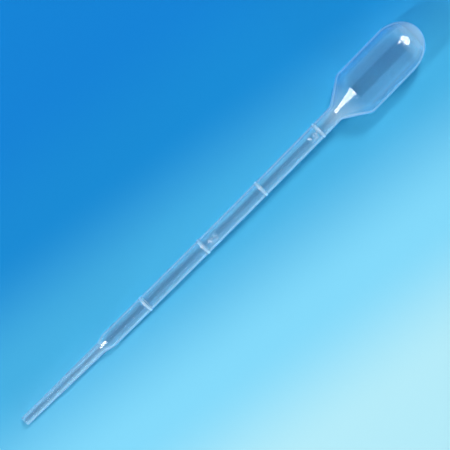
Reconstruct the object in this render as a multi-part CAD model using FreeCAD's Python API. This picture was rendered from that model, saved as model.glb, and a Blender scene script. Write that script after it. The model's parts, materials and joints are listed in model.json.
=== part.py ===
import FreeCAD, Part

import math
import os

# Dropper pipette, blow moulded in one piece: a drawn tip, a graduated stem and a squeeze bulb that
# share one cavity. It is built along +X with the mouth of the tip at x = 0, then rolled and laid on
# its side.
# Sizes are in millimetres, volumes in cubic millimetres and angles in degrees.

tip_length = 28.8
tip_diameter = 2.75  # at the mouth
tip_widening = 0.55  # from the mouth to the root
tip_wall = 0.5  # at the mouth
shoulder_length = 2.7  # from the tip's root up to the full stem

stem_length = 87.1
stem_diameter = 4.7
stem_wall = 0.45

cone_half_angle = 33.2
cone_wall = 0.42

bulb_diameter = 14.2
bulb_body_length = 15.9  # the straight part between the cone and the dome
bulb_wall = 0.36
dome_length = 8.45
dome_end_wall = 0.75  # thicker where the parison was pinched off

mark_volume = 250.0  # what the pipette holds between one ring and the next
mark_width = 0.8
mark_height = 0.15  # of the bead's crest over the stem
mark_clearance = 3.0  # from a ring's middle to either end of the stem, at the least

resting_roll = 26.25  # about the long axis, as it has come to rest

shoulder_blend = 2.2
neck_blend = 1.6
bulb_blend = 3.0

blend_share = 0.45  # of a straight run, the most that the blend at one end of it takes
least_blend = 0.0001  # a corner that is blended over less than this is left out as straight
mouth_overrun = 1.0  # how far the cavity's tool starts outside the mouth

ORIGIN = FreeCAD.Vector(0, 0, 0)
LONG_AXIS = FreeCAD.Vector(1, 0, 0)
TILT_AXIS = FreeCAD.Vector(0, 1, 0)

tip_radius = tip_diameter / 2
tip_root_radius = (tip_diameter + tip_widening) / 2
tip_bore_radius = tip_radius - tip_wall
stem_radius = stem_diameter / 2
stem_bore_radius = stem_radius - stem_wall
bulb_radius = bulb_diameter / 2
bulb_bore_radius = bulb_radius - bulb_wall

cone_angle = math.radians(cone_half_angle)
stem_start = tip_length + shoulder_length
neck = stem_start + stem_length
bulb_start = neck + (bulb_radius - stem_radius) / math.tan(cone_angle)
dome_start = bulb_start + bulb_body_length
total_length = dome_start + dome_length


def cone_inside_at(radius, wall):
    """Where the cone's inside reaches a radius, with its wall measured square to the cone."""
    return neck + (radius + wall / math.cos(cone_angle) - stem_radius) / math.tan(cone_angle)


def mark_places():
    """One ring for each mark_volume that the pipette holds, filled from the mouth, along the stem."""
    tip_area = math.pi * tip_bore_radius**2
    stem_area = math.pi * stem_bore_radius**2
    shoulder_area = (tip_area + math.sqrt(tip_area * stem_area) + stem_area) / 3
    below_stem = tip_area * tip_length + shoulder_area * shoulder_length
    pitch = mark_volume / stem_area
    start = stem_start - below_stem / stem_area
    count = int((neck - mark_clearance - start) / pitch)
    places = [start + pitch * n for n in range(1, count + 1)]
    return [x for x in places if x > stem_start + mark_clearance]


def rounded_edges(corners):
    """Straight runs through corners of (x, radius, blend), with an arc wherever the runs have room."""
    points = [FreeCAD.Vector(x, 0, radius) for x, radius, _ in corners]
    blends = [blend for _, _, blend in corners]
    edges = []
    reached = points[0]
    for before, corner, after, blend in zip(points, points[1:], points[2:], blends[1:]):
        back = (before - corner).normalize()
        ahead = (after - corner).normalize()
        half_turn = (math.pi - back.getAngle(ahead)) / 2
        shorter_run = min(before.distanceToPoint(corner), after.distanceToPoint(corner))
        setback = min(blend * math.tan(half_turn), blend_share * shorter_run)
        if setback < least_blend:
            continue
        inward = (back + ahead).normalize()
        to_arc = setback / math.tan(half_turn) * (1 / math.cos(half_turn) - 1)
        start, end = corner + back * setback, corner + ahead * setback
        edges.append(Part.LineSegment(reached, start).toShape())
        edges.append(Part.Arc(start, corner + inward * to_arc, end).toShape())
        reached = end
    edges.append(Part.LineSegment(reached, points[-1]).toShape())
    return edges


def outer_edges():
    """The outside from the mouth to the dome, with a round bead for each mark on the stem."""
    corners = [
        (0, tip_radius, 0),
        (tip_length, tip_root_radius, shoulder_blend),
        (stem_start, stem_radius, shoulder_blend),
    ]
    edges = []
    for x in mark_places():
        before, after = x - mark_width / 2, x + mark_width / 2
        crest = FreeCAD.Vector(x, 0, stem_radius + mark_height)
        feet = [FreeCAD.Vector(foot, 0, stem_radius) for foot in (before, after)]
        edges += rounded_edges(corners + [(before, stem_radius, 0)])
        edges.append(Part.Arc(feet[0], crest, feet[1]).toShape())
        corners = [(after, stem_radius, 0)]
    corners += [
        (neck, stem_radius, neck_blend),
        (bulb_start, bulb_radius, bulb_blend),
        (dome_start, bulb_radius, 0),
    ]
    return edges + rounded_edges(corners)


def inner_edges():
    """The cavity from outside the mouth to the dome."""
    corners = [
        (-mouth_overrun, tip_bore_radius, 0),
        (tip_length, tip_bore_radius, shoulder_blend),
        (stem_start, stem_bore_radius, shoulder_blend),
        (cone_inside_at(stem_bore_radius, cone_wall), stem_bore_radius, neck_blend + cone_wall),
        (cone_inside_at(bulb_bore_radius, cone_wall), bulb_bore_radius, bulb_blend - cone_wall),
        (dome_start, bulb_bore_radius, 0),
    ]
    return rounded_edges(corners)


def dome_radii(length, radius):
    """The side's and the end's arc that together come closest to a quarter of an ellipse."""
    span = math.hypot(length, radius)
    side = (span + length - radius) / 2 * span / radius
    end = (span - length + radius) / 2 * span / length
    return side, end


def dome_edges(radius, dome_end):
    """From the bulb's side round to the long axis, over two arcs that meet smoothly."""
    side, end = dome_radii(dome_end - dome_start, radius)
    side_middle = FreeCAD.Vector(dome_start, 0, radius - side)
    end_middle = FreeCAD.Vector(dome_end - end, 0, 0)
    meeting = LONG_AXIS.getAngle(end_middle - side_middle)
    arcs = [(side_middle, side, math.pi / 2, meeting), (end_middle, end, meeting, 0)]
    edges = []
    for middle, reach, first, last in arcs:
        turns = [first, (first + last) / 2, last]
        points = [middle + FreeCAD.Vector(math.cos(turn), 0, math.sin(turn)) * reach for turn in turns]
        edges.append(Part.Arc(*points).toShape())
    return edges


def turned(edges):
    """The solid of revolution under an outline that starts beside the long axis and ends on it."""
    start = edges[0].firstVertex().Point
    end = edges[-1].lastVertex().Point
    foot = FreeCAD.Vector(start.x, 0, 0)
    closing = [Part.LineSegment(end, foot).toShape(), Part.LineSegment(foot, start).toShape()]
    return Part.Face(Part.Wire(edges + closing)).revolve(ORIGIN, LONG_AXIS, 360)


def resting_tilt():
    """How far the bulb lifts the long axis when bulb and mouth both touch a flat surface."""
    setback = bulb_blend * math.tan(cone_angle / 2)
    across = bulb_start + setback
    up = bulb_radius - bulb_blend - tip_radius
    return math.atan2(up, across) + math.asin(bulb_blend / math.hypot(across, up))


def laid_down(shape):
    """Rolls and tilts the part into its resting pose and centres its footprint on the origin."""
    tilt = resting_tilt()
    _, end_radius = dome_radii(dome_length, bulb_radius)
    far_end = (total_length - end_radius) * math.cos(tilt) + end_radius
    near_end = -tip_radius * math.sin(tilt)
    shape.rotate(ORIGIN, LONG_AXIS, resting_roll)
    shape.rotate(ORIGIN, TILT_AXIS, -math.degrees(tilt))
    shape.translate(FreeCAD.Vector(-(near_end + far_end) / 2, 0, tip_radius * math.cos(tilt)))
    return shape


def pipette():
    """The moulded wall: the outside less the cavity."""
    outside = turned(outer_edges() + dome_edges(bulb_radius, total_length))
    cavity = turned(inner_edges() + dome_edges(bulb_bore_radius, total_length - dome_end_wall))
    return laid_down(outside.cut(cavity))


os.makedirs("parts", exist_ok=True)
made = pipette()
made.exportStep("parts/pipette.step")
print("length", round(total_length, 2), "tilt", round(math.degrees(resting_tilt()), 3))
print("rings at", [round(x, 2) for x in mark_places()])
print("valid", made.isValid(), "solids", len(made.Solids), "volume", round(made.Volume, 2))
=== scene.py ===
import json
import math

import bpy
from mathutils import Matrix, Vector


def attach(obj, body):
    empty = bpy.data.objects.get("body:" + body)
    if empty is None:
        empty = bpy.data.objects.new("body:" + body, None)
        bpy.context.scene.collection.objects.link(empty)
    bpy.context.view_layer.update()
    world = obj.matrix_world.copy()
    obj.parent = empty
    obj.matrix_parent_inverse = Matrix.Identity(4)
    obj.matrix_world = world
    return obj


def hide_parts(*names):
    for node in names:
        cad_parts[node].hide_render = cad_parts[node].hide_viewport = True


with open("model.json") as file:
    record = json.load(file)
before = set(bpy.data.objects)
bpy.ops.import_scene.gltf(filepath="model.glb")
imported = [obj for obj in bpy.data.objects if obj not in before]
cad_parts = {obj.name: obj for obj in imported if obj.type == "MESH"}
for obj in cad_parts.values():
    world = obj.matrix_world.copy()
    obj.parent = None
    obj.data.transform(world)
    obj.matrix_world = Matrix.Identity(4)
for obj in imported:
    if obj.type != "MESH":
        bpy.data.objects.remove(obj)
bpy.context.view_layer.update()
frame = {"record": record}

print("frame loaded")

mm = 0.001


def linear(hexColour):
    # sRGB hex to linear RGBA
    channels = [int(hexColour[i:i + 2], 16) / 255 for i in (1, 3, 5)]
    return [c / 12.92 if c <= 0.04045 else ((c + 0.055) / 1.055) ** 2.4 for c in channels] + [1.0]


def addNode(tree, kind, settings=None, inputs=()):
    # settings: the node's own properties, or just its operation; an input: a value, a socket or a node
    node = tree.nodes.new(kind)
    if isinstance(settings, str):
        settings = {"operation": settings}
    for name, value in (settings or {}).items():
        setattr(node, name, value)
    for socket, value in inputs.items() if isinstance(inputs, dict) else enumerate(inputs):
        if isinstance(value, bpy.types.Node):
            value = next(output for output in value.outputs if output.enabled)
        if isinstance(value, bpy.types.NodeSocket):
            tree.links.new(value, node.inputs[socket])
        else:
            node.inputs[socket].default_value = value
    return node


polyethylene = {
    "tint": "#F8FCFF",
    "tintDeep": "#F6F9F9",  # a milky wall is greyer too
    "clearMilk": 0.035,  # milk up to which a wall has no grey
    "greyMilk": 0.08,  # milk from which it has all of it
    "streakTint": 0.3,  # how much the streaks add to the grey
    "transmission": 0.99,  # the rest is the milky scatter of the crystals
    "edgeFrom": 0.62,  # edge-on milk sets in; 1 is where a look just misses the bore
    "edgeTo": 1.05,  # all of it is there
    "ior": 1.51,
    "gloss": 0.55,
    "roughness": 0.1,
    "roughnessSpread": 0.03,
    "sheen": 0.6,
    "sheenRoughness": 0.45,
    "sheenTint": "#64B4FF",  # crystals scatter more blue than red
    "markRoughness": 0.45,  # the marks are eroded into the mould, which leaves them frosted
    "markTransmission": 0.64,
    "flowLength": 9.0,  # mm, streaks that run along the parison
    "flowWidth": 0.9,  # mm
    "flowHeight": 0.012,  # mm
    "peel": 0.7,  # mm, orange peel left by the mould
    "peelHeight": 0.004,  # mm
    "noiseSpan": (0.3, 0.7),  # what a noise mostly keeps between
}


def mouldedPolyethylene(spec):
    # blow-moulded low density polyethylene: nearly clear in a thin wall, a soft gloss, faint streaks
    material = bpy.data.materials.new("mouldedPolyethylene")
    material.use_nodes = True
    tree = material.node_tree
    shader = tree.nodes["Principled BSDF"]
    shader.inputs["IOR"].default_value = spec["ior"]
    shader.inputs["Specular IOR Level"].default_value = spec["gloss"]
    shader.inputs["Sheen Weight"].default_value = spec["sheen"]
    shader.inputs["Sheen Roughness"].default_value = spec["sheenRoughness"]
    shader.inputs["Sheen Tint"].default_value = linear(spec["sheenTint"])
    place = addNode(tree, "ShaderNodeTexCoord").outputs["Object"]

    # streaks are noise drawn out along the pipette, and the orange peel is a finer one
    along, across = 1 / (spec["flowLength"] * mm), 1 / (spec["flowWidth"] * mm)
    drawn = addNode(tree, "ShaderNodeMapping", None, {"Vector": place, "Scale": (along, across, across)})
    flow = addNode(tree, "ShaderNodeTexNoise", None, {
        "Vector": drawn, "Scale": 1.0, "Detail": 2.0}).outputs["Fac"]
    peel = addNode(tree, "ShaderNodeTexNoise", None, {
        "Vector": place, "Scale": 1 / (spec["peel"] * mm), "Detail": 1.0}).outputs["Fac"]

    # what the mesh says of each place: its milk square on and edge on, and how raised marks are frosted
    milk, edge, edgeMilk, frosted = [
        addNode(tree, "ShaderNodeAttribute", {"attribute_name": name}).outputs["Fac"]
        for name in ("milk", "edge", "edgeMilk", "frosted")]
    grey = addNode(tree, "ShaderNodeMapRange", None, {
        "Value": milk, "From Min": spec["clearMilk"], "From Max": spec["greyMilk"]})
    grey = addNode(tree, "ShaderNodeMath", "MULTIPLY_ADD", [flow, spec["streakTint"], grey])
    tint = addNode(tree, "ShaderNodeMix", {"data_type": "RGBA"}, {
        "Factor": grey, 6: linear(spec["tint"]), 7: linear(spec["tintDeep"])})
    tree.links.new(tint.outputs[2], shader.inputs["Base Color"])

    # raised marks are rougher
    skin = addNode(tree, "ShaderNodeMapRange", None, {
        "Value": peel, "From Min": spec["noiseSpan"][0], "From Max": spec["noiseSpan"][1],
        "To Min": spec["roughness"] - spec["roughnessSpread"],
        "To Max": spec["roughness"] + spec["roughnessSpread"]})
    rough = addNode(tree, "ShaderNodeMapRange", None, {
        "Value": frosted, "To Min": skin, "To Max": spec["markRoughness"]})
    tree.links.new(rough.outputs[0], shader.inputs["Roughness"])
    # a wall is milkier where it is thick, where it is seen edge on and where a mark is raised
    facing = addNode(tree, "ShaderNodeLayerWeight", None, {"Blend": 0.5}).outputs["Facing"]
    squareOn = addNode(tree, "ShaderNodeMath", "SUBTRACT", [1.0, facing])
    edgeOn = addNode(tree, "ShaderNodeMapRange", {"interpolation_type": "SMOOTHSTEP"}, {
        "Value": addNode(tree, "ShaderNodeMath", "DIVIDE", [edge, squareOn]),
        "From Min": spec["edgeFrom"], "From Max": spec["edgeTo"], "To Min": 0.0, "To Max": edgeMilk})
    milk = addNode(tree, "ShaderNodeMath", "MAXIMUM", [milk, edgeOn])
    clear = addNode(tree, "ShaderNodeMath", "SUBTRACT", [spec["transmission"], milk])
    clear = addNode(tree, "ShaderNodeMapRange", None, {
        "Value": frosted, "To Min": clear, "To Max": spec["markTransmission"]})
    tree.links.new(clear.outputs[0], shader.inputs["Transmission Weight"])

    streaks = addNode(tree, "ShaderNodeBump", None, {
        "Strength": 1.0, "Distance": spec["flowHeight"] * mm, "Height": flow})
    relief = addNode(tree, "ShaderNodeBump", None, {
        "Strength": 1.0, "Distance": spec["peelHeight"] * mm, "Height": peel, "Normal": streaks})
    tree.links.new(relief.outputs[0], shader.inputs["Normal"])
    return material


pipette = {  # mm
    "tipLength": 28.8,
    "tipDiameter": 2.75,
    "tipWidening": 0.55,
    "tipWall": 0.5,
    "shoulderLength": 2.7,
    "stemLength": 87.1,
    "stemDiameter": 4.7,
    "stemWall": 0.45,
    "coneHalfAngle": 33.2,  # degrees
    "coneWall": 0.42,
    "bulbDiameter": 14.2,
    "bulbLength": 15.9,
    "bulbWall": 0.36,
    "domeLength": 8.45,
    "domeEndWall": 0.75,
    "shoulderBlend": 2.2,
    "neckBlend": 1.6,
    "bulbBlend": 3.0,
    "mouthBlend": 0.12,
    "ringVolume": 250.0,  # cubic mm from one ring to the next
    "ringCount": 4,
    "ringWidth": 1.3,
    "ringHeight": 0.13,
    "segments": 160,
    "domeSteps": 20,
    "coarseStep": 1.0,
    "bulbStep": 0.6,
    "fineStep": 0.1,
    "fineMargin": 0.15,  # that the fine spacing runs past a mark
    "tipMilk": (0.055, 0.24),  # share of light that the wall scatters, seen square on and edge on
    "stemMilk": (0.08, 0.29),
    "neckMilk": (0.24, 0.3),
    "bulbMilk": (0.035, 0.31),
    "domeEndMilk": (0.55, 0.4),
    "bow": 0.67,  # sideways at mid-length, set as it cooled
    "sag": 0.7,  # downwards between the mouth and the bulb
}
numerals = {
    "size": 2.5,  # mm, the font's em
    "height": 0.16,  # mm, proud of the stem
    "bevel": 0.16,  # mm
    "frost": 0.45,  # beside the rings' 1
    "turn": -8.0,  # degrees about the long axis from straight up
    "texts": [("0.5", 1, 2.0), ("1.0", 3, -4.0)],  # text, ring counted from 0, mm from it to the start
    "reach": 3.5,  # mm, how far a text can run
    "halfHeight": 0.85,  # mm, of a figure
}


def outlineFacts(spec):
    # what follows from the sizes
    facts = {}
    facts["tip"] = spec["tipDiameter"] / 2
    facts["tipRoot"] = (spec["tipDiameter"] + spec["tipWidening"]) / 2
    facts["tipBore"] = facts["tip"] - spec["tipWall"]
    facts["stem"] = spec["stemDiameter"] / 2
    facts["stemBore"] = facts["stem"] - spec["stemWall"]
    facts["bulb"] = spec["bulbDiameter"] / 2
    facts["bulbBore"] = facts["bulb"] - spec["bulbWall"]
    facts["stemStart"] = spec["tipLength"] + spec["shoulderLength"]
    facts["neck"] = facts["stemStart"] + spec["stemLength"]
    facts["slope"] = math.tan(math.radians(spec["coneHalfAngle"]))
    facts["bulbStart"] = facts["neck"] + (facts["bulb"] - facts["stem"]) / facts["slope"]
    facts["domeStart"] = facts["bulbStart"] + spec["bulbLength"]
    facts["end"] = facts["domeStart"] + spec["domeLength"]
    lift = spec["coneWall"] / math.cos(math.radians(spec["coneHalfAngle"]))
    facts["innerNeck"] = facts["neck"] + (facts["stemBore"] + lift - facts["stem"]) / facts["slope"]
    facts["innerBulb"] = facts["neck"] + (facts["bulbBore"] + lift - facts["stem"]) / facts["slope"]
    area = math.pi * facts["stemBore"] ** 2
    tipArea = math.pi * facts["tipBore"] ** 2
    middle = (tipArea + math.sqrt(tipArea * area) + area) / 3
    below = tipArea * spec["tipLength"] + middle * spec["shoulderLength"]
    facts["ringPitch"] = spec["ringVolume"] / area
    facts["firstRing"] = facts["stemStart"] + facts["ringPitch"] - below / area
    return facts


def edgeShare(outer, inner):
    # the cosine at which a look from outside just misses the bore: past it, it runs along the wall
    return math.sqrt(1 - (inner / outer) ** 2)


def outlineRows(spec, facts):
    # (along, radius, rounding, spacing up to the next, inside or not, milk square on and edge on, edge)
    rings = [facts["firstRing"] + n * facts["ringPitch"] for n in range(spec["ringCount"])]
    marks = [(ring - spec["ringWidth"] / 2, ring + spec["ringWidth"] / 2) for ring in rings]
    marks += [(rings[index] + start, rings[index] + start + numerals["reach"])
              for _, index, start in numerals["texts"]]
    fine = []
    for low, high in sorted(marks):
        low, high = low - spec["fineMargin"], high + spec["fineMargin"]
        if fine and low < fine[-1][1]:
            low = fine.pop()[0]
        fine.append((low, high))
    steps = spec["domeSteps"]
    turns = [math.radians(90 * n / steps) for n in range(steps)]
    domeEnd = facts["end"] - spec["domeEndWall"] - facts["domeStart"]
    coarse = spec["coarseStep"]
    apart = spec["domeLength"]  # more than any gap along the dome, so that it gets no further points
    onTip = (*spec["tipMilk"], edgeShare(facts["tip"], facts["tipBore"]))
    onRoot = (*spec["tipMilk"], edgeShare(facts["tipRoot"], facts["tipBore"]))
    onStem = (*spec["stemMilk"], edgeShare(facts["stem"], facts["stemBore"]))
    onNeck = (*spec["neckMilk"], edgeShare(facts["stem"], facts["stemBore"]))
    onBulb = (*spec["bulbMilk"], edgeShare(facts["bulb"], facts["bulbBore"]))
    onEnd = (*spec["domeEndMilk"], edgeShare(spec["domeLength"], domeEnd))
    rows = []
    for turn in turns:
        along = facts["domeStart"] + spec["domeLength"] * math.cos(turn)
        between = [side + (end - side) * math.cos(turn) ** 2 for side, end in zip(onBulb, onEnd)]
        rows.append((along, facts["bulb"] * math.sin(turn), 0, apart, 0, *between))
    rows.append((facts["domeStart"], facts["bulb"], 0, spec["bulbStep"], 0, *onBulb))
    rows.append((facts["bulbStart"], facts["bulb"], spec["bulbBlend"], spec["bulbStep"], 0, *onBulb))
    rows.append((facts["neck"], facts["stem"], spec["neckBlend"], coarse, 0, *onNeck))
    for low, high in fine[::-1]:
        rows.append((high, facts["stem"], 0, spec["fineStep"], 0, *onStem))
        rows.append((low, facts["stem"], 0, coarse, 0, *onStem))
    rows.append((facts["stemStart"], facts["stem"], spec["shoulderBlend"], coarse, 0, *onStem))
    rows.append((spec["tipLength"], facts["tipRoot"], spec["shoulderBlend"], coarse, 0, *onRoot))
    rows.append((0, facts["tip"], spec["mouthBlend"], coarse, 0, *onTip))
    onBore = (1, 0, 0, 0)  # the inside has no milk of its own
    rows.append((0, facts["tipBore"], spec["mouthBlend"], coarse, *onBore))
    rows.append((spec["tipLength"], facts["tipBore"], spec["shoulderBlend"], coarse, *onBore))
    rows.append((facts["stemStart"], facts["stemBore"], spec["shoulderBlend"], coarse, *onBore))
    # the wall keeps its thickness round the two bends
    neckInside = spec["neckBlend"] + spec["coneWall"]
    bulbInside = spec["bulbBlend"] - spec["coneWall"]
    rows.append((facts["innerNeck"], facts["stemBore"], neckInside, spec["bulbStep"], *onBore))
    rows.append((facts["innerBulb"], facts["bulbBore"], bulbInside, spec["bulbStep"], *onBore))
    for turn in [math.radians(90)] + turns[::-1]:
        along = facts["domeStart"] + domeEnd * math.cos(turn)
        rows.append((along, facts["bulbBore"] * math.sin(turn), 0, apart, *onBore))
    return rows


def outlineObject(spec, facts):
    rows = outlineRows(spec, facts)
    mesh = bpy.data.meshes.new("outline")
    points = [(along, radius, 0) for along, radius, *_ in rows]
    mesh.from_pydata(points, [(n, n + 1) for n in range(len(rows) - 1)], [])
    for column, name in enumerate(("rounding", "spacing", "inside", "milk", "edgeMilk", "edge"), start=2):
        values = mesh.attributes.new(name, "FLOAT", "POINT")
        values.data.foreach_set("value", [float(row[column]) for row in rows])
    outline = bpy.data.objects.new("outline", mesh)
    bpy.context.scene.collection.objects.link(outline)
    return outline


def latheTree(texts):
    # turns the outline, and raises the rings, numerals and parting line on its outside
    tree = bpy.data.node_groups.new("mouldedLathe", "GeometryNodeTree")
    kinds = {"Outline": "Geometry", "Segments": "Int", "Blend Points": "Int", "Ring Count": "Int",
             "Plastic": "Material"}
    for name in ("Outline", "Segments", "Blend Points", "Length", "Bow", "Sag", "Sag Length",
                 "First Ring", "Ring Pitch", "Ring Count", "Ring Width", "Ring Height", "Numeral Size",
                 "Numeral Half Height", "Numeral Height", "Numeral Bevel", "Numeral Turn",
                 "Numeral Frost", "Stem Radius",
                 "Seam Width", "Seam Height", "Outer Waviness", "Inner Waviness", "Wave Length",
                 "Wave Spread", "Skin Shift", "Merge Distance", "Seed", "Plastic"):
        kind = "NodeSocket" + kinds.get(name, "Float")
        tree.interface.new_socket(name, in_out="INPUT", socket_type=kind)
    tree.interface.new_socket("Geometry", in_out="OUTPUT", socket_type="NodeSocketGeometry")
    given = addNode(tree, "NodeGroupInput").outputs
    maths, combine, named = "ShaderNodeMath", "ShaderNodeCombineXYZ", "GeometryNodeInputNamedAttribute"
    pointVector = {"data_type": "FLOAT_VECTOR", "domain": "POINT"}
    pointFloat = {"data_type": "FLOAT", "domain": "POINT"}

    # the outline: rounded corners, then as many points as its spacing asks for
    curve = addNode(tree, "GeometryNodeMeshToCurve", None, [given["Outline"]])
    rounded = addNode(tree, "GeometryNodeFilletCurve", {"mode": "POLY"}, {
        "Curve": curve, "Count": given["Blend Points"], "Limit Radius": True,
        "Radius": addNode(tree, named, {"data_type": "FLOAT"}, ["rounding"])})
    here = addNode(tree, "GeometryNodeInputPosition")
    index = addNode(tree, "GeometryNodeInputIndex")
    following = addNode(tree, "GeometryNodeOffsetPointInCurve", None, {"Point Index": index, "Offset": 1})
    there = addNode(tree, "GeometryNodeFieldAtIndex", pointVector, {
        "Value": here, "Index": following.outputs["Point Index"]})
    run = addNode(tree, "ShaderNodeVectorMath", "DISTANCE", [here, there])
    spacing = addNode(tree, named, {"data_type": "FLOAT"}, ["spacing"])
    cuts = addNode(tree, maths, "FLOOR", [addNode(tree, maths, "DIVIDE", [run, spacing])])
    spaced = addNode(tree, "GeometryNodeSubdivideCurve", None, {"Curve": rounded, "Cuts": cuts})

    # a grid with one row for each point of the outline, a column for each segment and one to close it
    size = addNode(tree, "GeometryNodeAttributeDomainSize", {"component": "CURVE"}, [spaced])
    columns = addNode(tree, maths, "ADD", [given["Segments"], 1])
    grid = addNode(tree, "GeometryNodeMeshGrid", None, {
        "Size X": 1.0, "Size Y": 1.0, "Vertices X": size.outputs["Point Count"], "Vertices Y": columns})
    inRow = addNode(tree, maths, "ADD", [index, 0.5])
    row = addNode(tree, maths, "FLOOR", [addNode(tree, maths, "DIVIDE", [inRow, columns])])
    column = addNode(tree, maths, "SUBTRACT", [index, addNode(tree, maths, "MULTIPLY", [row, columns])])
    share = addNode(tree, maths, "DIVIDE", [column, given["Segments"]])
    turn = addNode(tree, maths, "MULTIPLY", [share, 2 * math.pi])
    acrossY = addNode(tree, maths, "COSINE", [turn])  # the first column lies at +Y
    acrossZ = addNode(tree, maths, "SINE", [turn])
    sampled = addNode(tree, "GeometryNodeSampleIndex", pointVector, {
        "Geometry": spaced, "Value": here, "Index": row})
    along, radius = addNode(tree, "ShaderNodeSeparateXYZ", None, [sampled]).outputs[:2]
    rowValues = {}
    for name in ("inside", "milk", "edgeMilk", "edge"):
        value = addNode(tree, named, {"data_type": "FLOAT"}, [name])
        rowValues[name] = addNode(tree, "GeometryNodeSampleIndex", pointFloat, {
            "Geometry": spaced, "Value": value, "Index": row})
    inside = addNode(tree, maths, "GREATER_THAN", [rowValues.pop("inside"), 0.5])
    outside = addNode(tree, maths, "SUBTRACT", [1.0, inside])

    # rings
    fromFirst = addNode(tree, maths, "SUBTRACT", [along, given["First Ring"]])
    pitches = addNode(tree, maths, "DIVIDE", [fromFirst, given["Ring Pitch"]])
    nearest = addNode(tree, maths, "ROUND", [pitches])
    lastRing = addNode(tree, maths, "SUBTRACT", [given["Ring Count"], 1.0])
    nearest = addNode(tree, "ShaderNodeClamp", None, {"Value": nearest, "Min": 0.0, "Max": lastRing})
    ringAt = addNode(tree, maths, "MULTIPLY", [nearest, given["Ring Pitch"]])
    fromRing = addNode(tree, maths, "ABSOLUTE", [addNode(tree, maths, "SUBTRACT", [fromFirst, ringAt])])
    halfRing = addNode(tree, maths, "MULTIPLY", [given["Ring Width"], 0.5])
    rings = addNode(tree, "ShaderNodeMapRange", {"interpolation_type": "SMOOTHSTEP"}, {
        "Value": fromRing, "From Min": halfRing, "From Max": 0.0, "To Min": 0.0, "To Max": 1.0})

    # numerals, laid out on the unrolled stem: along it, and round it from straight up towards +Y
    joined = addNode(tree, "GeometryNodeJoinGeometry")
    low = addNode(tree, maths, "MULTIPLY", [given["Numeral Half Height"], -1.0])
    for text, start in texts:
        letters = addNode(tree, "GeometryNodeStringToCurves", None, {
            "String": text, "Size": given["Numeral Size"]})
        filled = addNode(tree, "GeometryNodeFillCurve", None, [
            addNode(tree, "GeometryNodeRealizeInstances", None, [letters])])
        put = addNode(tree, "GeometryNodeTransform", None, {
            "Geometry": filled, "Translation": addNode(tree, combine, None, [start, low])})
        tree.links.new(put.outputs[0], joined.inputs[0])
    fromTop = addNode(tree, maths, "SUBTRACT", [math.pi / 2, turn])
    fromTop = addNode(tree, maths, "SUBTRACT", [fromTop, given["Numeral Turn"]])
    aroundStem = addNode(tree, maths, "MULTIPLY", [fromTop, given["Stem Radius"]])
    unrolled = addNode(tree, combine, None, [along, aroundStem])
    near = addNode(tree, "GeometryNodeProximity", {"target_element": "FACES"}, {
        0: joined, "Sample Position": unrolled}).outputs["Distance"]
    figures = addNode(tree, "ShaderNodeMapRange", {"interpolation_type": "SMOOTHSTEP"}, {
        "Value": near, "From Min": given["Numeral Bevel"], "From Max": 0.0, "To Min": 0.0, "To Max": 1.0})

    # nothing is raised on the axis itself, or the dome's pole would stay open
    offAxis = addNode(tree, "ShaderNodeMapRange", {"interpolation_type": "SMOOTHSTEP"}, {
        "Value": radius, "From Min": 0.0, "From Max": given["Stem Radius"], "To Min": 0.0, "To Max": 1.0})

    # the parting line, down both sides
    fromSide = addNode(tree, maths, "MULTIPLY", [radius, addNode(tree, maths, "ABSOLUTE", [acrossZ])])
    seam = addNode(tree, "ShaderNodeMapRange", {"interpolation_type": "SMOOTHSTEP"}, {
        "Value": fromSide, "From Min": given["Seam Width"], "From Max": 0.0,
        "To Min": 0.0, "To Max": offAxis})

    # the wall is never quite even: its two skins wave on their own
    across = addNode(tree, combine, None, [
        addNode(tree, maths, "DIVIDE", [along, given["Wave Length"]]),
        addNode(tree, maths, "MULTIPLY", [acrossY, given["Wave Spread"]]),
        addNode(tree, maths, "MULTIPLY_ADD", [acrossZ, given["Wave Spread"], given["Seed"]])])
    # full on the stem, less on the stiff tip and the blown bulb
    wider = addNode(tree, maths, "MAXIMUM", [radius, given["Stem Radius"]])
    stemLike = addNode(tree, maths, "DIVIDE", [given["Stem Radius"], wider])
    stemLike = addNode(tree, maths, "MULTIPLY", [stemLike, offAxis])
    waves = []
    for shift in (0.0, given["Skin Shift"]):
        shift = addNode(tree, combine, None, [shift])
        moved = addNode(tree, "ShaderNodeVectorMath", "ADD", [across, shift])
        noise = addNode(tree, "ShaderNodeTexNoise", {"noise_dimensions": "3D"}, {
            "Vector": moved, "Scale": 1.0, "Detail": 1.0})
        wave = addNode(tree, "ShaderNodeMapRange", {"clamp": False}, {
            "Value": noise, "From Min": 0.0, "From Max": 1.0, "To Min": -1.0, "To Max": 1.0})
        waves.append(addNode(tree, maths, "MULTIPLY", [wave, stemLike]))

    lift = addNode(tree, maths, "MULTIPLY", [rings, given["Ring Height"]])
    lift = addNode(tree, maths, "MULTIPLY_ADD", [figures, given["Numeral Height"], lift])
    lift = addNode(tree, maths, "MULTIPLY_ADD", [seam, given["Seam Height"], lift])
    lift = addNode(tree, maths, "MULTIPLY_ADD", [waves[0], given["Outer Waviness"], lift])
    innerLift = addNode(tree, maths, "MULTIPLY", [waves[1], given["Inner Waviness"]])
    lift = addNode(tree, "ShaderNodeMix", {"data_type": "FLOAT"}, {0: inside, 2: lift, 3: innerLift})
    wide = addNode(tree, maths, "ADD", [lift, radius])

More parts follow.
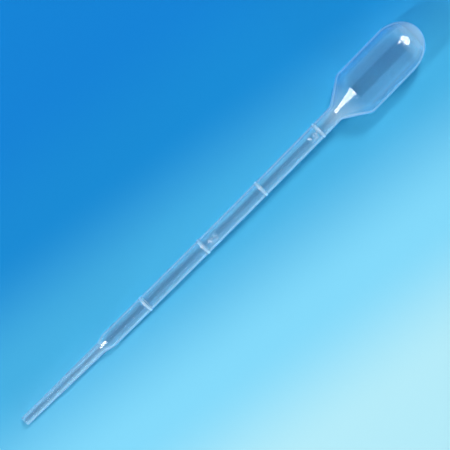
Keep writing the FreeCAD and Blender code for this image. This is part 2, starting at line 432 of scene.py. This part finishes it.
    # the bow is a parabola from end to end; the sag is one squared, which leaves the bulb where it lies
    bends = []
    for length, power in ((given["Length"], 1.0), (given["Sag Length"], 2.0)):
        part = addNode(tree, "ShaderNodeMapRange", None, {"Value": along, "From Max": length})
        rest = addNode(tree, maths, "SUBTRACT", [1.0, part])
        bend = addNode(tree, maths, "MULTIPLY", [addNode(tree, maths, "MULTIPLY", [part, rest]), 4.0])
        bends.append(addNode(tree, maths, "POWER", [bend, power]))
    bowed = addNode(tree, maths, "MULTIPLY", [bends[0], given["Bow"]])
    sagged = addNode(tree, maths, "MULTIPLY", [bends[1], given["Sag"]])
    sideways = addNode(tree, maths, "MULTIPLY", [wide, acrossY])
    upwards = addNode(tree, maths, "MULTIPLY", [wide, acrossZ])
    place = addNode(tree, combine, None, [
        along, addNode(tree, maths, "SUBTRACT", [sideways, bowed]),
        addNode(tree, maths, "SUBTRACT", [upwards, sagged])])
    figures = addNode(tree, maths, "MULTIPLY", [figures, given["Numeral Frost"]])
    marks = addNode(tree, maths, "MULTIPLY", [outside, addNode(tree, maths, "MAXIMUM", [rings, figures])])
    rowValues["frosted"] = marks
    marked = grid
    for name, value in rowValues.items():
        marked = addNode(tree, "GeometryNodeStoreNamedAttribute", pointFloat, {
            "Geometry": marked, "Name": name, "Value": value})
    turned = addNode(tree, "GeometryNodeSetPosition", None, {"Geometry": marked, "Position": place})
    closed = addNode(tree, "GeometryNodeMergeByDistance", None, {
        "Geometry": turned, "Distance": given["Merge Distance"]})
    smooth = addNode(tree, "GeometryNodeSetShadeSmooth", None, {"Geometry": closed})
    real = addNode(tree, "GeometryNodeRealizeInstances", None, [smooth])
    done = addNode(tree, "GeometryNodeSetMaterial", None, {
        "Geometry": real, "Material": given["Plastic"]})
    addNode(tree, "NodeGroupOutput", None, [done])
    return tree


lathe = {  # lengths in mm
    "Seam Width": 0.22,
    "Seam Height": 0.05,
    "Outer Waviness": 0.06,
    "Inner Waviness": 0.07,
    "Wave Length": 5.0,
    "Wave Spread": 0.55,  # how much the waves differ from one side to the other
    "Skin Shift": 37.0,  # keeps the two skins' waves apart
    "Merge Distance": 0.0005,
    "Blend Points": 7,
    "Seed": 3.7,
}


def restingPlace():
    # tip_bore's place and axis in the record say how the pipette lies
    mount = next(m for m in frame["record"]["mounts"] if m["name"] == "tip_bore")
    ahead = -Vector(mount["axis"]).normalized()
    side = Vector((0, 1, 0))
    up = ahead.cross(side)
    turn = Matrix((ahead, side, up)).transposed().to_4x4()
    return Matrix.Translation(Vector(mount["pos_m"])) @ turn @ Matrix.Scale(mm, 4)


def makePipette(plastic):
    facts = outlineFacts(pipette)
    outline = outlineObject(pipette, facts)
    texts = [(text, facts["firstRing"] + ring * facts["ringPitch"] + start)
             for text, ring, start in numerals["texts"]]
    tree = latheTree(texts)
    settings = dict(lathe)
    settings.update({
        "Segments": pipette["segments"], "Length": facts["end"], "Bow": pipette["bow"],
        "Sag": pipette["sag"], "Sag Length": facts["bulbStart"],
        "First Ring": facts["firstRing"], "Ring Pitch": facts["ringPitch"],
        "Ring Count": pipette["ringCount"], "Ring Width": pipette["ringWidth"],
        "Ring Height": pipette["ringHeight"], "Numeral Size": numerals["size"],
        "Numeral Half Height": numerals["halfHeight"],
        "Numeral Height": numerals["height"], "Numeral Bevel": numerals["bevel"],
        "Numeral Turn": math.radians(numerals["turn"]), "Numeral Frost": numerals["frost"],
        "Stem Radius": facts["stem"], "Plastic": plastic,
    })
    modifier = outline.modifiers.new("lathe", "NODES")
    modifier.node_group = tree
    for item in tree.interface.items_tree:
        if item.in_out == "INPUT" and item.name in settings:
            modifier[item.identifier] = settings[item.name]
    outline.update_tag()
    evaluated = outline.evaluated_get(bpy.context.evaluated_depsgraph_get())
    mesh = bpy.data.meshes.new_from_object(evaluated)
    outline.modifiers.remove(modifier)
    bpy.data.objects.remove(outline)
    mesh.name = "mouldedPipette"
    mesh.transform(restingPlace())
    piece = bpy.data.objects.new("mouldedPipette", mesh)
    bpy.context.scene.collection.objects.link(piece)
    return piece


plastic = mouldedPolyethylene(polyethylene)
piece = makePipette(plastic)
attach(piece, "root")
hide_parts("pipette")
print("pipette made:", len(piece.data.vertices), "points")


board = {
    "radius": 4.0,  # m
    "sides": 72,
    "colours": [  # m from the middle, colour
        (-0.066, "#C9E7E4"),
        (-0.034, "#90D4E4"),
        (0.0, "#4AABCF"),
        (0.03, "#0E86C1"),
        (0.06, "#057EC2"),
    ],
    "lean": 0.16,  # the colours turn a little from the Y axis towards the bulb
    "roughness": 0.6,
    "gloss": 0.05,
}


def makeFloor(spec):
    mesh = bpy.data.meshes.new("floor")
    radius = spec["radius"]
    turns = [2 * math.pi * n / spec["sides"] for n in range(spec["sides"])]
    rim = [(radius * math.cos(turn), radius * math.sin(turn), 0) for turn in turns]
    mesh.from_pydata(rim, [], [list(range(len(rim)))])
    floor = bpy.data.objects.new("floor", mesh)
    bpy.context.scene.collection.objects.link(floor)
    material = bpy.data.materials.new("gradedBoard")  # matt board whose colour runs from pale on the -Y side to azure on the +Y side
    material.use_nodes = True
    tree = material.node_tree
    place = addNode(tree, "ShaderNodeTexCoord").outputs["Object"]
    lean = addNode(tree, "ShaderNodeVectorMath", "DOT_PRODUCT", [place, (spec["lean"], 1.0, 0.0)])
    colours = spec["colours"]
    low, high = colours[0][0], colours[-1][0]
    along = addNode(tree, "ShaderNodeMapRange", None, {
        "Value": lean.outputs["Value"], "From Min": low, "From Max": high})
    ramp = addNode(tree, "ShaderNodeValToRGB", None, [along])
    ramp.color_ramp.interpolation = "EASE"
    stops = ramp.color_ramp.elements  # it starts with one at each end
    for at, _ in colours[1:-1]:
        stops.new((at - low) / (high - low))
    for stop, (_, colour) in zip(stops, colours):
        stop.color = linear(colour)
    shader = tree.nodes["Principled BSDF"]
    tree.links.new(ramp.outputs["Color"], shader.inputs["Base Color"])
    shader.inputs["Roughness"].default_value = spec["roughness"]
    shader.inputs["Specular IOR Level"].default_value = spec["gloss"]
    mesh.materials.append(material)
    return floor


card = {  # a dark card over the object, so that the bulb's top stays clear of reflections
    "height": 0.9,  # m
    "halfWidth": 0.54,
    "ends": (-0.55, 0.57),
    "colour": "#10161C",
    "roughness": 0.9,
}


def makeFlag(spec):
    low, high = spec["ends"]
    half, up = spec["halfWidth"], spec["height"]
    mesh = bpy.data.meshes.new("flag")
    corners = [(low, -half, up), (high, -half, up), (high, half, up), (low, half, up)]
    mesh.from_pydata(corners, [], [(0, 1, 2, 3)])
    flag = bpy.data.objects.new("flag", mesh)
    bpy.context.scene.collection.objects.link(flag)
    material = bpy.data.materials.new("blackCard")  # matt black paper, which gives back next to no light
    material.use_nodes = True
    shader = material.node_tree.nodes["Principled BSDF"]
    shader.inputs["Base Color"].default_value = linear(spec["colour"])
    shader.inputs["Roughness"].default_value = spec["roughness"]
    mesh.materials.append(material)
    flag.visible_camera = False
    return flag


sky = {
    "colour": "#89D8FD",
    "level": 0.85,
    "paleSide": 1.9,  # its level low on the -Y side, where the board is pale
    "paleRise": 2.5,  # how fast that fades upwards
}


def makeWorld(spec):
    world = bpy.data.worlds.new("softSky")
    world.use_nodes = True
    bpy.context.scene.world = world
    tree = world.node_tree
    place = addNode(tree, "ShaderNodeTexCoord").outputs["Generated"]
    low = addNode(tree, "ShaderNodeVectorMath", "DOT_PRODUCT", [place, (0.0, -1.0, -spec["paleRise"])])
    level = addNode(tree, "ShaderNodeMapRange", None, {
        "Value": low.outputs["Value"], "To Min": spec["level"], "To Max": spec["paleSide"]})
    background = tree.nodes["Background"]
    background.inputs["Color"].default_value = linear(spec["colour"])
    tree.links.new(level.outputs[0], background.inputs["Strength"])


lamps = [
    # name, role, lean from straight up, turn from +X, distance in m, size along and across, radiance
    # light: no highlight of its own; fill: nothing through the plastic either; mirror: a highlight alone
    ("bulbEndLamp", "light", 32.0, 31.0, 0.97, (0.26, 0.13), 46.5),
    ("tipEndLamp", "both", 51.0, 172.0, 1.2, (0.5, 0.15), 34.0),
    ("sideFill", "fill", 87.0, -90.0, 1.0, (0.10, 0.8), 32.0),
    ("bulbEndGlint", "mirror", 43.0, 4.0, 1.21, (0.52, 1.0), 18.5),
    ("tipEndGlint", "mirror", 51.0, 165.0, 1.21, (0.95, 0.88), 14.5),
]


def makeLamps():
    for name, role, lean, turn, distance, size, radiance in lamps:
        light = bpy.data.lights.new(name, "AREA")
        light.shape = "ELLIPSE"
        light.size, light.size_y = size[0], size[1]
        area = math.pi / 4 * size[0] * size[1]
        light.energy = radiance * math.pi * area
        lamp = bpy.data.objects.new(name, light)
        bpy.context.scene.collection.objects.link(lamp)
        lean, turn = math.radians(lean), math.radians(turn)
        out = Vector((math.sin(lean) * math.cos(turn), math.sin(lean) * math.sin(turn), math.cos(lean)))
        across = Vector((-math.sin(turn), math.cos(turn), 0))
        along = across.cross(out)
        facing = Matrix((along, across, out)).transposed().to_4x4()
        lamp.matrix_world = Matrix.Translation(out * distance) @ facing
        lamp.visible_camera = False
        if role in ("light", "fill"):
            lamp.visible_glossy = False
        if role == "fill":
            lamp.visible_transmission = False
        if role == "mirror":
            lamp.visible_diffuse = lamp.visible_transmission = False


view = {
    "width": 121.5 * mm,  # what is seen at the height of the pipette's axis
    "height": 0.45,  # m over that axis
    "axisHeight": 4.6 * mm,
    "aimRight": 1.32 * mm,  # from the origin, in the picture's own directions
    "aimUp": 0.35 * mm,
    "turn": -45.0,  # degrees, so that the pipette runs from lower left to upper right
}


def makeCamera(spec):
    data = bpy.data.cameras.new("camera")
    data.lens = data.sensor_width * spec["height"] / spec["width"]
    camera = bpy.data.objects.new("camera", data)
    bpy.context.scene.collection.objects.link(camera)
    turn = math.radians(spec["turn"])
    right = Vector((math.cos(turn), math.sin(turn), 0))
    up = Vector((-math.sin(turn), math.cos(turn), 0))
    aim = right * spec["aimRight"] + up * spec["aimUp"]
    camera.location = aim + Vector((0, 0, spec["axisHeight"] + spec["height"]))
    camera.rotation_euler = (0, 0, turn)
    bpy.context.scene.camera = camera


lightPaths = {  # two walls in, two out, and the same again for what lights the floor behind them
    "max_bounces": 24,
    "transmission_bounces": 24,
    "glossy_bounces": 8,
    "blur_glossy": 0.0,  # or the floor seen through the bulb turns dark
}
floor = makeFloor(board)
flag = makeFlag(card)
makeWorld(sky)
makeLamps()
makeCamera(view)
bpy.context.scene.view_settings.view_transform = "Standard"
for name, value in lightPaths.items():
    setattr(bpy.context.scene.cycles, name, value)
print("stage, light and camera made")
